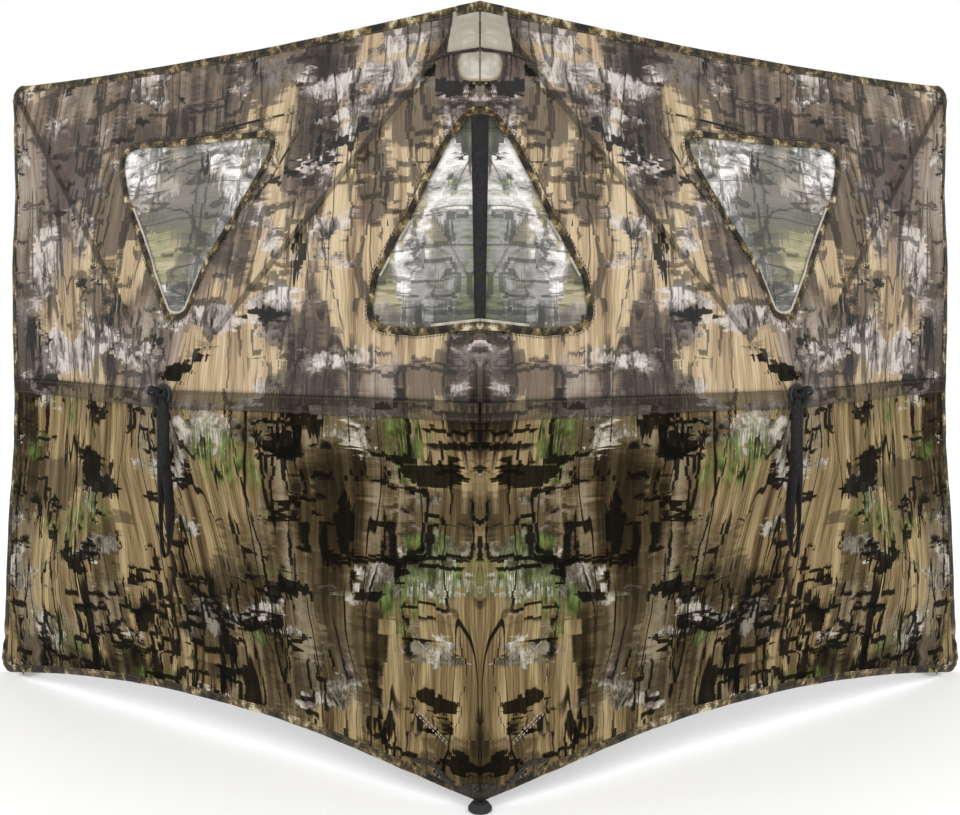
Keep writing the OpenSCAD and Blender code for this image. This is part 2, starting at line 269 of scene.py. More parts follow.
def tension(u, z):
    """Creases that run from the hub and the corners, where the cloth is pulled."""
    du, dz = u - HUB_U, z - HUB_Z
    radius = np.hypot(du, dz) + 1e-9
    angle = np.arctan2(dz, du)
    wander = 2 * noise(np.cos(angle) * 2 + 8, np.sin(angle) * 2 + radius * 9, 5)
    pull = 0.0016 * np.exp(-((radius / 0.13) ** 2)) * np.clip(radius / 0.03, 0, 1)
    relief = pull * np.cos(9 * angle + wander)
    for i, (cu, cz) in enumerate(((0, HEM_SPINE), (0, TOP), (WIDTH, TOP), (WIDTH, 0))):
        r = np.hypot(u - cu, z - cz) + 1e-9
        a = np.arctan2(np.abs(z - cz), np.abs(u - cu))
        pull = 0.0024 * np.exp(-((r / 0.24) ** 2)) * np.clip(r / 0.05, 0, 1)
        relief += pull * noise(a * 9 + 3 * i, r * 3, 11 + i)
    return relief


def slack(u, z):
    """Long soft waves between the rods, across the line of pull."""
    du, dz = u - HUB_U, z - HUB_Z
    radius = np.hypot(du, dz)
    fan = noise(np.cos(np.arctan2(dz, du)) * 4 + 20, np.sin(np.arctan2(dz, du)) * 4 + radius * 4, 21)
    return 0.0024 * fan * np.clip((radius - 0.08) / 0.25, 0, 1) + 0.0011 * noise(u * 9, z * 9, 22)


def height(u, z):
    """Height n of the cloth's outer face over the edge plane."""
    u, z = np.broadcast_arrays(np.asarray(u, float), np.asarray(z, float))
    facets = [u / HUB_U, (WIDTH - u) / (WIDTH - HUB_U), (top_edge(u) - z) / (TOP - HUB_Z), z / HUB_Z]
    share = np.clip(soft_min(facets, 0.018), 0, 1)
    off_ridge = np.abs(np.abs(u - HUB_U) / HUB_U - np.abs(z - HUB_Z) / HUB_Z)
    sag = 0.010 * share * (1 - share) * 4 * np.clip(off_ridge * 1.6, 0, 1)
    relief = (puckers(u, z) + tension(u, z) + slack(u, z)) * np.clip(u / 0.03, 0, 1)
    return CROWN * share - sag + relief


# ---- mesh helpers


def placed(name, data):
    """A new object in the scene."""
    obj = bpy.data.objects.new(name, data)
    SCENE.collection.objects.link(obj)
    return obj


def new_object(name, side, verts, faces, material, flat=False, solid=False):
    """A mesh object. Faces are wound for the right panel, and turned over for the left one."""
    mesh = bpy.data.meshes.new(name)
    if side == "left":
        faces = [tuple(reversed(f)) for f in faces]
    mesh.from_pydata([tuple(map(float, v)) for v in verts], [], [tuple(map(int, f)) for f in faces])
    mesh.validate()
    if solid:
        shell = bmesh.new()
        shell.from_mesh(mesh)
        bmesh.ops.recalc_face_normals(shell, faces=shell.faces)
        shell.to_mesh(mesh)
        shell.free()
    if not flat:
        mesh.shade_smooth()
    mesh.materials.append(material)
    map_camo(mesh, side)
    return placed(f"{side}_{name}" if side else name, mesh)


def map_camo(mesh, side):
    """Stores each corner's panel coordinates (u, z) in a UV map, so that a print runs on across pieces
    and is mirrored at the spine."""
    layer = mesh.uv_layers.new(name="camo")
    co = np.zeros(len(mesh.vertices) * 3)
    mesh.vertices.foreach_get("co", co)
    co = co.reshape(-1, 3)
    x = -co[:, 0] if side == "left" else co[:, 0]
    uz = np.stack([x * U.x + co[:, 1] * U.y, co[:, 2]], 1)
    index = np.zeros(len(mesh.loops), int)
    mesh.loops.foreach_get("vertex_index", index)
    layer.data.foreach_set("uv", uz[index].ravel())


def thicken(obj, thickness, offset, inner_slot=0):
    mod = obj.modifiers.new("thickness", "SOLIDIFY")
    mod.thickness = thickness
    mod.offset = offset
    mod.material_offset = inner_slot
    mod.use_quality_normals = True


def triangulated(outline, lines, spacing):
    """Constrained triangles over an outline in the plane, with a regular grid of points inside.
    lines holds (line, closed) pairs that the triangles' edges must follow."""
    points, edges = [], []
    for line, closed in [(outline, True)] + list(lines):
        first, count = len(points), len(line)
        points.extend(line)
        edges.extend((first + i, first + (i + 1) % count) for i in range(count if closed else count - 1))
    boundary = np.array(points)
    lo, hi = np.array(outline).min(0), np.array(outline).max(0)
    us, zs = (np.arange(lo[k] + spacing, hi[k], spacing) for k in (0, 1))
    grid = np.stack(np.meshgrid(us, zs), -1).reshape(-1, 2)
    keep = inside(outline, grid)
    for b in boundary:
        keep &= np.hypot(*(grid - b).T) > spacing * 0.55
    points.extend(map(tuple, grid[keep]))
    verts, _, faces, *_ = delaunay_2d_cdt([Vector(p) for p in points], edges, [], 1, 1e-6)
    return np.array([tuple(v) for v in verts]), faces


def inside(poly, points):
    """Which points lie inside a closed polygon."""
    poly = np.asarray(poly)
    x, y = points[:, 0], points[:, 1]
    hit = np.zeros(len(points), bool)
    for (x0, y0), (x1, y1) in zip(poly, np.roll(poly, -1, 0)):
        if y0 != y1:
            hit ^= ((y0 > y) != (y1 > y)) & (x < (x1 - x0) * (y - y0) / (y1 - y0) + x0)
    return hit


def middles(points, faces):
    return np.array([points[list(f)].mean(0) for f in faces])


def chosen_part(points, faces, chosen):
    """The faces that are chosen and only the points that they use."""
    kept = [f for f, keep in zip(faces, chosen) if keep]
    used = sorted({v for f in kept for v in f})
    index = {v: i for i, v in enumerate(used)}
    return points[used], [tuple(index[v] for v in f) for f in kept]


def directions(line, closed=False):
    """Unit tangents of a line of points, in the plane or in space."""
    line = np.asarray(line, float)
    if closed:
        step = np.roll(line, -1, 0) - np.roll(line, 1, 0)
    else:
        step = np.gradient(line, axis=0)
    return step / (np.linalg.norm(step, axis=1)[:, None] + 1e-12)


def to_left(tangent):
    return np.stack([-tangent[:, 1], tangent[:, 0]], 1)


def tube_faces(rings, size, closed):
    """Faces of a swept profile of size points with rings copies of it."""
    faces = []
    for i in range(rings if closed else rings - 1):
        k = (i + 1) % rings
        for j in range(size):
            m = (j + 1) % size
            faces.append((i * size + j, i * size + m, k * size + m, k * size + j))
    if not closed:
        faces.append(tuple(range(size - 1, -1, -1)))
        faces.append(tuple((rings - 1) * size + j for j in range(size)))
    return faces


def grid_faces(rows, columns, turn_over=False):
    """Quads over a grid of points stored row by row."""
    quads = [(i * columns + j, i * columns + j + 1, (i + 1) * columns + j + 1, (i + 1) * columns + j)
             for i in range(rows - 1) for j in range(columns - 1)]
    return [tuple(reversed(q)) for q in quads] if turn_over else quads


def sweep(line, profile, lift=0.0):
    """Panel coordinates (u, n, z) and faces of a profile carried along a line on the cloth. The profile
    holds (across, out): across lies in the cloth, to the left of the line, and out is along n."""
    profile = np.asarray(profile, float)
    across = to_left(directions(line))
    uz = np.asarray(line, float)[:, None, :] + across[:, None, :] * profile[None, :, :1]
    n = height(uz[..., 0], uz[..., 1]) + profile[None, :, 1] + lift
    return (uz[..., 0].ravel(), n.ravel(), uz[..., 1].ravel()), tube_faces(len(line), len(profile), False)


def ribbon(path, facing, width, thick, closed=False):
    """Panel coordinates and faces of a band of webbing along a path in (u, n, z). facing gives the
    direction of its width at each point, and width may vary along it."""
    path, facing = np.asarray(path, float), np.asarray(facing, float)
    tangent = directions(path, closed)
    facing = facing - tangent * (facing * tangent).sum(1)[:, None]
    facing /= np.linalg.norm(facing, axis=1)[:, None]
    out = np.cross(tangent, facing)
    width = np.broadcast_to(width, len(path))
    profile = np.array(flat_band(1.0, thick, edge=thick * 0.35 / 0.03))
    points = (path[:, None] + facing[:, None] * (profile[None, :, :1] * width[:, None, None])
              + out[:, None] * profile[None, :, 1:])
    return tuple(points.reshape(-1, 3).T), tube_faces(len(path), len(profile), closed)


def oval(width, thick, sides=12):
    """A flattened round profile."""
    angles = [2 * math.pi * k / sides for k in range(sides)]
    return [(width / 2 * math.cos(a), thick / 2 * math.sin(a)) for a in angles]


def flat_band(width, thick, edge=None):
    """A webbing profile whose edges are softened over the width edge."""
    w, t = width / 2, thick / 2
    c = thick * 0.35
    inner = w - (edge or c)
    return [(w, -t + c), (w, t - c), (inner, t), (0, t * 1.08), (-inner, t),
            (-w, t - c), (-w, -t + c), (-inner, -t), (0, -t), (inner, -t)]


# ---- placing the soft pieces on the frame's bodies


def quarter_signs(quarter):
    return (1 if quarter.endswith("outer") else -1), (1 if quarter.startswith("upper") else -1)


def cloth_slot(quarter):
    return "mesh_fabric" if quarter.startswith("upper") else "skirt_fabric"


def fold_with(obj, side, quarter):
    """The piece rides on a quarter's rod."""
    su, sz = quarter_signs(quarter)
    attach(obj, f"{side}_{quarter}")
    hub = at(side, HUB_U, CROWN, HUB_Z)
    at(side, -sz, 0, su)
    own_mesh(obj)


def ride_with(obj, body):
    """The piece rides stiffly on a body."""
    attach(obj, body)


def both(name, body, place, faces, material, slot, thick=0.0, offset=0, back=None, stiff=False,
         stands_for="", **look):
    """A piece on each panel, its points at the panel coordinates place; back is the material of its
    other face. It rides on the quarter that body names, or is stiff on that body, and may stand for
    a CAD node."""
    for side in SIDES:
        obj = new_object(name, side, spread(side, *place), faces, material, **look)
        if back:
            obj.data.materials.append(back)
        if thick:
            thicken(obj, thick, offset, inner_slot=1 if back else 0)
        if stands_for:
            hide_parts(f"{side}_{stands_for}")
        if stiff:
            ride_with(obj, f"{side}_{body}")
        else:
            fold_with(obj, side, body)


# ---- materials


def linear(colour):
    """An sRGB colour out of 255 as linear light, with alpha."""
    return (*(((c / 255 + 0.055) / 1.055) ** 2.4 if c > 10 else c / 255 / 12.92 for c in colour), 1)


class Graph:
    """Short names for the shader nodes that the materials use. Colours are sRGB out of 255."""

    def __init__(self, name):
        self.material = bpy.data.materials.new(name)
        self.material.use_nodes = True
        self.tree = self.material.node_tree
        self.tree.nodes.clear()
        self.out = self.tree.nodes.new("ShaderNodeOutputMaterial")

    def node(self, kind, inputs, output=0, **settings):
        """Adds a node and gives one of its outputs. inputs holds a link or a value for each socket."""
        node = self.tree.nodes.new("ShaderNode" + kind)
        for key, value in settings.items():
            setattr(node, key, value)
        for key, value in inputs.items():
            socket = node.inputs[key]
            if isinstance(value, bpy.types.NodeSocket):
                self.tree.links.new(value, socket)
            elif value is not None:
                socket.default_value = linear(value) if socket.type == "RGBA" else value
        return node.outputs[output]

    def done(self, shader):
        self.tree.links.new(shader, self.out.inputs["Surface"])
        return self.material

    def math(self, operation, a, b=None, c=None):
        return self.node("Math", {0: a, 1: b, 2: c}, operation=operation)

    def vector(self, operation, a, b=None, scale=None):
        return self.node("VectorMath", {0: a, 1: b, 3: scale}, operation=operation)

    def uv(self):
        return self.node("UVMap", {}, uv_map="camo")

    def place(self):
        return self.node("TexCoord", {}, "Object")

    def split(self, vec):
        return self.node("SeparateXYZ", {0: vec}).node.outputs

    def join(self, x, y):
        return self.node("CombineXYZ", {0: x, 1: y})

    def stretch(self, vec, su, sz, shift=(0, 0), turn=0.0):
        return self.node("Mapping", {"Vector": vec, "Location": (*shift, 0), "Rotation": (0, 0, turn),
                                     "Scale": (su, sz, 1)})

    def noise(self, vec, scale=1.0, detail=2.0, rough=0.5, distort=0.0):
        amounts = {"Scale": scale, "Detail": detail, "Roughness": rough, "Distortion": distort}
        return self.node("TexNoise", {"Vector": vec, **amounts}, "Fac")

    def streaks(self, vec, su, sz, detail=2.0, rough=0.5, distort=0.0, shift=(0, 0), turn=0.0):
        """Noise with about su features a metre along u and sz along z."""
        return self.noise(self.stretch(vec, su, sz, shift, turn), 1.0, detail, rough, distort)

    def noise_along(self, value, rate, seed, detail=2.0, rough=0.6):
        """Noise of one coordinate only."""
        along = self.math("MULTIPLY_ADD", value, rate, seed)
        return self.node("TexNoise", {"W": along, "Scale": 1.0, "Detail": detail, "Roughness": rough}, "Fac",
                         noise_dimensions="1D")

    def cells(self, vec):
        """A random colour for each unit square."""
        square = self.vector("FLOOR", vec)
        return self.node("TexWhiteNoise", {"Vector": square}, "Color", noise_dimensions="2D")

    def boxes(self, vec, spread=1.0):
        """Square rings round scattered points: the distance to the nearest one, and its random value."""
        rings = self.node("TexVoronoi", {"Vector": vec, "Scale": 1.0, "Randomness": spread}, "Distance",
                          voronoi_dimensions="2D", distance="CHEBYCHEV")
        return rings, rings.node.outputs["Color"]

    def step(self, value, low, high):
        """0 below low, 1 above high, smooth between."""
        return self.node("MapRange", {"Value": value, "From Min": low, "From Max": high}, "Result",
                         interpolation_type="SMOOTHSTEP")

    def ridge(self, value, centre, width):
        """1 where the value is at the centre, falling to 0 at width on either side."""
        away = self.math("ABSOLUTE", self.math("SUBTRACT", value, centre))
        return self.math("SUBTRACT", 1.0, self.step(away, width * 0.45, width))

    def ramp(self, value, stops):
        colour = self.node("ValToRGB", {"Fac": value}, "Color")
        elements = colour.node.color_ramp.elements
        while len(elements) < len(stops):
            elements.new(0.5)
        for element, (place, shade) in zip(elements, stops):
            element.position = place
            element.color = linear(shade)
        return colour

    def mix(self, factor, a, b):
        return self.node("Mix", {"Factor": factor, "A": a, "B": b}, "Result", data_type="RGBA")

    def bump(self, relief, strength, distance):
        return self.node("Bump", {"Height": relief, "Strength": strength, "Distance": distance}, "Normal")

    def principled(self, colour, rough, normal=None, metallic=0.0, sheen=0.0, coat=0.0, shine=0.5):
        return self.node("BsdfPrincipled", {
            "Base Color": colour, "Roughness": rough, "Metallic": metallic, "Specular IOR Level": shine,
            "Sheen Weight": sheen, "Sheen Roughness": 0.5, "Coat Weight": coat, "Normal": normal})

    def deepen(self, colour, gamma, gain):
        """The colour with more contrast: darks fall by the power gamma, and all of it is scaled by gain."""
        return self.vector("SCALE", self.node("Gamma", {"Color": colour, "Gamma": gamma}), scale=gain)

    def see_through(self, shader, knit, share):
        """Lets light through share of the surface, most of it between the threads of the weave."""
        if not share:
            return shader
        gaps = self.math("MULTIPLY_ADD", self.step(knit, -0.6, 0.6), share * 0.5, share * 0.75)
        return self.node("MixShader", {0: gaps, 1: shader, 2: self.node("BsdfTransparent", {})})


def blocky(g, vec, seed, sizes):
    """The place moved by a random amount in each block, which breaks a patch's edge into steps.
    sizes holds (blocks a metre along u, blocks a metre along z, how far they move)."""
    moved = vec
    for i, (su, sz, amount) in enumerate(sizes):
        blocks = g.stretch(moved, su, sz, shift=(seed * 3.1 + i, seed * 1.7 + i))
        shift = g.vector("SUBTRACT", g.cells(blocks), (0.5, 0.5, 0.5))
        moved = g.vector("ADD", moved, g.vector("SCALE", shift, scale=amount))
    return moved


def frayed(g, vec, seed, rows=0.0, columns=0.0):
    """The place moved along u by an amount that differs from row to row, and along z from column to
    column, so that a patch has the ragged ends of a dry brush stroke."""
    u, z = g.split(vec)[:2]
    across = g.math("SUBTRACT", g.noise_along(z, 95, seed, 3), 0.5)
    upright = g.math("SUBTRACT", g.noise_along(u, 120, seed + 31, 3), 0.5)
    return g.join(g.math("MULTIPLY_ADD", across, rows, u), g.math("MULTIPLY_ADD", upright, columns, z))


def patches(g, vec, su, sz, seed, edge, detail=2.0, rough=0.5, distort=0.0):
    """1 inside scattered patches, 0 outside; edge holds where the patch starts and is full."""
    field = g.streaks(vec, su, sz, detail, rough, distort, shift=(seed, seed * 0.6))
    return g.step(field, *edge)


COARSE = ((16, 11, 0.030), (44, 30, 0.012))
FINE = ((40, 26, 0.008), (120, 80, 0.004))


def strokes(g, vec, rough):
    """Dark broken strokes: upright wavy cracks, and pieces of boxes drawn in a rough hand."""
    wave = g.streaks(rough, 10, 1.4, 2, 0.5, 0.3, shift=(2, 8))
    thin = g.streaks(vec, 21, 2.0, 1, 0.5, 0.2, shift=(9, 3))
    ink = g.math("MULTIPLY", g.ridge(wave, 0.50, 0.008), patches(g, vec, 7, 4, 6.0, (0.44, 0.50)))
    fine = g.math("MULTIPLY", g.ridge(thin, 0.50, 0.012), patches(g, vec, 9, 4, 2.0, (0.46, 0.50)))
    ink = g.math("MAXIMUM", ink, fine)
    for seed, su, sz, ring, width, gate, spread in BOX_STROKES:
        distance, value = g.boxes(g.stretch(rough, su, sz, shift=(seed, seed * 2)), spread)
        size = g.math("MULTIPLY_ADD", g.split(value)[0], 0.20, ring - 0.14)
        line = g.math("ABSOLUTE", g.math("SUBTRACT", distance, size))
        line = g.math("SUBTRACT", 1.0, g.step(line, width * 0.5, width))
        gated = g.math("MULTIPLY", line, patches(g, vec, 6.5, 5, seed + 4, (gate, gate + 0.02), 2, 0.6))
        ink = g.math("MAXIMUM", ink, gated)
    return ink


# seed, boxes a metre along u and z, size, line width, how much is kept, how scattered
BOX_STROKES = (
    (1.0, 11, 7, 0.40, 0.042, 0.505, 0.8),
    (7.0, 23, 15, 0.38, 0.070, 0.535, 0.9),
    (13.0, 7, 17, 0.42, 0.055, 0.56, 0.5),
)


def grass(g, vec, colour, mood):
    """Tufts of leaning blades in soft-edged clumps."""
    clumps = patches(g, vec, 6, 9, 5.0, mood["grass_edge"])
    for turn, shift in ((0.30, 0.0), (-0.45, 4.0), (0.08, 9.0)):
        blade = g.streaks(vec, 300, 20, 1, 0.5, 0.5, shift=(shift, 0), turn=turn)
        mask = g.math("MULTIPLY", g.step(blade, 0.54, 0.60), clumps)
        green = g.ramp(g.noise(vec, 70, 1), ((0.3, mood["grass_dark"]), (0.7, mood["grass_light"])))
        colour = g.mix(g.math("MULTIPLY", mask, mood["grass"]), colour, green)
    return colour


def leaning(g, vec):
    """The place warped so that upright things lean a little one way or the other."""
    u, z = g.split(vec)[:2]
    sway = g.math("SUBTRACT", g.streaks(vec, 2.6, 3.4, 1, 0.5, shift=(6, 2)), 0.5)
    wobble = g.math("SUBTRACT", g.streaks(vec, 17, 21, 1, 0.5, shift=(1, 5)), 0.5)
    u = g.math("MULTIPLY_ADD", sway, 0.06, g.math("MULTIPLY_ADD", wobble, 0.006, u))
    return g.join(u, g.math("MULTIPLY_ADD", wobble, -0.006, z))


def bark_print(g, vec, mood, turn=0.0):
    """A generic woodland print of its own: weathered boards with upright grain, smoky brush strokes,
    pale lichen, dark gaps, cracks and tufts of grass. mood holds its colours and amounts."""
    if turn:
        vec = g.stretch(vec, 1, 1, turn=turn, shift=(0.31, 0.17))
    vec = leaning(g, vec)
    steps = blocky(g, vec, 2.3, COARSE)
    rough = blocky(g, vec, 4.4, FINE)
    brushed = frayed(g, steps, 11.0, 0.07, 0.014)
    combed = frayed(g, steps, 3.0, 0.006, 0.07)
    grain = g.streaks(vec, 44, 2.2, 4, 0.6)
    fine = g.streaks(vec, 380, 14, 2, 0.6)
    tone = g.streaks(brushed, 6, 3.4, 4, 0.6, 0.4, shift=(4, 1))
    streaked = g.math("MULTIPLY_ADD", g.math("SUBTRACT", grain, 0.5), 0.6, tone)
    colour = g.ramp(streaked, mood["tones"])

    boards = patches(g, combed, 5.0, 2.0, 3.0, mood["board_edge"], 1.5)
    wood = g.ramp(g.math("MULTIPLY_ADD", g.math("SUBTRACT", fine, 0.5), 0.22, grain), mood["wood"])
    colour = g.mix(boards, colour, wood)

    lichen = patches(g, g.vector("ADD", rough, g.vector("SUBTRACT", brushed, steps)), 5.5, 9.5, 1.0,
                     mood["pale_edge"], 3, 0.6, 0.5)
    marks = g.streaks(rough, 42, 24, 4, 0.68, 0.7, shift=(7, 3))
    colour = g.mix(lichen, colour, g.ramp(marks, mood["lichen"]))

    smoke = patches(g, brushed, 6.0, 6.5, 9.0, mood["smoke_edge"], 2, 0.5, 0.3)
    colour = g.mix(g.math("MULTIPLY", smoke, mood["smoke_strength"]), colour, mood["smoke"])
    if mood["grass"] > 0:
        colour = grass(g, vec, colour, mood)

    gaps = patches(g, combed, 13, 5.5, 12.0, mood["dark_edge"], 3, 0.6)
    knots = patches(g, brushed, 8, 16, 15.0, mood["dark_edge"], 2, 0.6)
    gaps = g.math("MAXIMUM", gaps, knots)
    colour = g.mix(g.math("MULTIPLY", gaps, 0.92), colour, mood["dark"])
    colour = g.mix(g.math("MULTIPLY", strokes(g, vec, rough), mood["line"]), colour, mood["dark"])
    return g.mix(g.step(fine, 0.25, 0.8), g.mix(0.25, colour, mood["dark"]), colour)


def painted_rod_shade(g, vec):
    """1 along the two upper rods, where painted shade darkens the see-through cloth's colour in faint lines
    that stand in for the rods behind it.
    """
    u, z = g.split(vec)[:2]
    along = g.math("ABSOLUTE", g.math("SUBTRACT", u, HUB_U))
    off = g.math("SUBTRACT", g.math("SUBTRACT", z, HUB_Z), along)
    return g.math("MULTIPLY", g.ridge(off, 0.0, 0.010), g.step(along, 0.05, 0.12))


def weave(g, vec, pitch):
    """Height of a plain weave with the given thread spacing."""
    threads = g.split(g.stretch(vec, 2 * math.pi / pitch, 2 * math.pi / pitch))
    return g.math("MULTIPLY", g.math("SINE", threads[0]), g.math("SINE", threads[1]))


SKIRT_MOOD = dict(
    tones=((0.30, (32, 28, 20)), (0.42, (66, 57, 41)), (0.52, (104, 92, 70)), (0.66, (150, 139, 119))),
    wood=((0.32, (80, 68, 48)), (0.46, (127, 112, 84)), (0.64, (174, 158, 126))), board_edge=(0.485, 0.51),
    lichen=((0.34, (44, 42, 36)), (0.44, (116, 110, 98)), (0.60, (190, 184, 174))), pale_edge=(0.57, 0.60),
    smoke=(58, 52, 40), smoke_edge=(0.54, 0.59), smoke_strength=0.5,
    dark=(24, 21, 15), dark_edge=(0.60, 0.62),
    depth=(1.30, 1.50), line=0.92,
    grass=0.85, grass_edge=(0.58, 0.67), grass_dark=(58, 72, 34), grass_light=(122, 138, 86))
MESH_MOOD = dict(
    tones=((0.30, (56, 50, 46)), (0.42, (104, 93, 84)), (0.52, (140, 126, 112)), (0.66, (178, 167, 156))),
    wood=((0.32, (140, 121, 100)), (0.46, (186, 167, 138)), (0.62, (210, 194, 166))),
    board_edge=(0.475, 0.50),
    lichen=((0.34, (54, 50, 46)), (0.43, (146, 136, 128)), (0.57, (214, 206, 200))), pale_edge=(0.53, 0.56),
    smoke=(92, 82, 76), smoke_edge=(0.525, 0.57), smoke_strength=0.7,
    dark=(26, 25, 21), dark_edge=(0.635, 0.655),
    depth=(1.32, 1.38), line=0.62,
    grass=0.0, grass_edge=(0.56, 0.66), grass_dark=(70, 90, 50), grass_light=(130, 150, 90))
NET_MOOD = dict(
    MESH_MOOD,
    tones=((0.30, (56, 56, 52)), (0.42, (94, 91, 84)), (0.52, (124, 118, 106)), (0.66, (166, 158, 146))),
    wood=((0.32, (94, 90, 72)), (0.46, (140, 134, 106)), (0.62, (168, 160, 132))), board_edge=(0.52, 0.55),
    lichen=((0.34, (80, 78, 76)), (0.43, (160, 156, 152)), (0.57, (222, 218, 216))), pale_edge=(0.50, 0.54),
    dark=(40, 42, 40), smoke=(84, 84, 80), depth=(1.0, 1.5), grass=0.35, line=0.6)


def print_cloth(name, mood, pitch, share, rough=0.8, turn=0.0, shade=None, rods=0.0):
    """Printed cloth. pitch is its thread spacing, share is how much light its weave lets through,
    and rods is how strongly a painted shade of the rods behind it darkens the colour."""
    g = Graph(name)
    vec = g.uv()
    colour = g.deepen(bark_print(g, vec, mood, turn), *mood["depth"])
    # shade mixes a flat colour over the print by a share; on the seam band it is partly painted shade.
    if shade:
        colour = g.mix(shade[0], colour, shade[1])
    # Painted shade: the print's dark colour laid in faint bands along the rods behind the cloth.
    if rods:
        colour = g.mix(g.math("MULTIPLY", painted_rod_shade(g, vec), rods), colour, mood["dark"])
    knit = weave(g, vec, pitch)
    shader = g.principled(colour, rough, g.bump(knit, 0.3, 0.0004), shine=0.04)
    return g.done(g.see_through(shader, knit, share))


def dyed_cloth(name, dark, light, pitch, share=0.0, rough=0.7):
    """Cloth of one dye, a little uneven; share is how much light its weave lets through."""
    g = Graph(name)
    vec = g.uv()
    knit = weave(g, vec, pitch)
    tone = g.mix(g.step(g.streaks(vec, 60, 45, 4, 0.6), 0.3, 0.7), dark, light)
    shader = g.principled(tone, rough, g.bump(knit, 0.35, 0.0005), sheen=0.03, shine=0.2)
    return g.done(g.see_through(shader, knit, share))


def binding_material():
    """Bound edges: camouflage tape, darker than the cloth, with bronze and pale flashes."""
    g = Graph("camo_binding")
    vec = g.uv()
    rough = blocky(g, vec, 7.0, FINE)
    tone = g.streaks(rough, 34, 28, 5, 0.75)
    colour = g.ramp(tone, ((0.42, (20, 17, 12)), (0.50, (62, 52, 33)),
                           (0.56, (126, 106, 66)), (0.64, (214, 202, 174))))
    ribs = g.streaks(vec, 700, 700, 2, 0.5)
    colour = g.mix(g.step(ribs, 0.3, 0.7), g.mix(0.3, colour, (20, 18, 15)), colour)
    return g.done(g.principled(colour, 0.6, g.bump(ribs, 0.5, 0.0006), sheen=0.03, shine=0.2))


def webbing_material(name, dark, light):
    """Nylon webbing with ribs across it and a mottled, slightly faded colour."""
    g = Graph(name)
    place = g.place()
    ribs = g.noise(place, 300, 2, 0.5)
    rows = g.math("SINE", g.math("MULTIPLY", g.split(place)[2], 2 * math.pi / 0.0016))
    lanes = g.math("SINE", g.math("MULTIPLY", g.split(place)[0], 2 * math.pi / 0.0022))
    tone = g.mix(g.step(ribs, 0.35, 0.7), dark, light)
    relief = g.bump(g.math("ADD", rows, lanes), 0.4, 0.0005)
    return g.done(g.principled(tone, 0.55, relief, sheen=0.05, shine=0.25))


def plain_material(name, dark, light, rough, metallic=0.0, grain=90.0, bump=0.2, coat=0.0):
    """A moulded, drawn or metal finish with fine mottling, and roughness that varies with it."""
    g = Graph(name)
    place = g.place()
    spots = g.noise(place, grain, 5, 0.6)
    colour = g.mix(g.step(spots, 0.3, 0.7), dark, light)
    varied = g.math("MULTIPLY_ADD", spots, 0.16, rough - 0.08)
    relief = g.bump(g.noise(place, grain * 9, 2), bump, 0.0003)
    return g.done(g.principled(colour, varied, relief, metallic=metallic, coat=coat))


SKIRT = print_cloth("skirt_cloth", SKIRT_MOOD, 0.0011, 0.0)
# rods=0.65 lays painted shade along the upper rods behind the see-through cloth.
MESH = print_cloth("see_through_cloth", MESH_MOOD, 0.0016, 0.15, rods=0.65)
NET = print_cloth("window_netting", NET_MOOD, 0.0013, 0.12, 0.7, turn=math.pi / 2)
POCKET = print_cloth("doubled_mesh", MESH_MOOD, 0.0016, 0.0, shade=(0.36, (240, 230, 212)))
# The seam band's print is darkened three quarters towards near-black: partly the darker skirt under the
# lapped mesh, partly painted shade just below the seam.
SEAM_CLOTH_AND_SHADE = print_cloth("lapped_cloth_and_painted_shade", MESH_MOOD, 0.0016, 0.0, shade=(0.75, (42, 39, 33)))
LINING = dyed_cloth("black_lining", (22, 22, 23), (40, 40, 42), 0.0011, rough=0.62)
MESH_BACK = dyed_cloth("see_through_back", (34, 34, 34), (54, 54, 54), 0.0016, 0.18)
TAN_TAPE = dyed_cloth("tan_facing", (116, 100, 72), (170, 152, 118), 0.0012)
PALE_CLOTH = dyed_cloth("pale_facing", (150, 144, 132), (200, 194, 182), 0.0012)
BINDING = binding_material()
WEBBING = webbing_material("black_webbing", (13, 12, 12), (31, 30, 30))
DARK_TAPE = webbing_material("dark_tape", (26, 22, 17), (58, 50, 38))
GREY_CORD = webbing_material("grey_cord", (104, 102, 98), (160, 158, 154))
THREAD = plain_material("thread", (46, 42, 34), (96, 88, 70), 0.7, grain=400)
FIBREGLASS = plain_material("fibreglass", (24, 24, 26), (44, 44, 47), 0.35, grain=160, coat=0.3)
STEEL = plain_material("plated_steel", (150, 150, 152), (190, 190, 190), 0.32, 1.0, 220)
BLACK_NYLON = plain_material("black_nylon", (14, 14, 15), (26, 26, 27), 0.6, grain=300)
RUBBER = plain_material("foot_rubber", (20, 19, 18), (38, 36, 33), 0.75, grain=200, bump=0.4)
BRASS = plain_material("old_brass", (120, 98, 55), (176, 150, 92), 0.38, 1.0, 250)

# ---- cloth


def quarter_of(u, z):
    return ("upper" if z > SEAM_Z else "lower") + ("_outer" if u > HUB_U else "_inner")


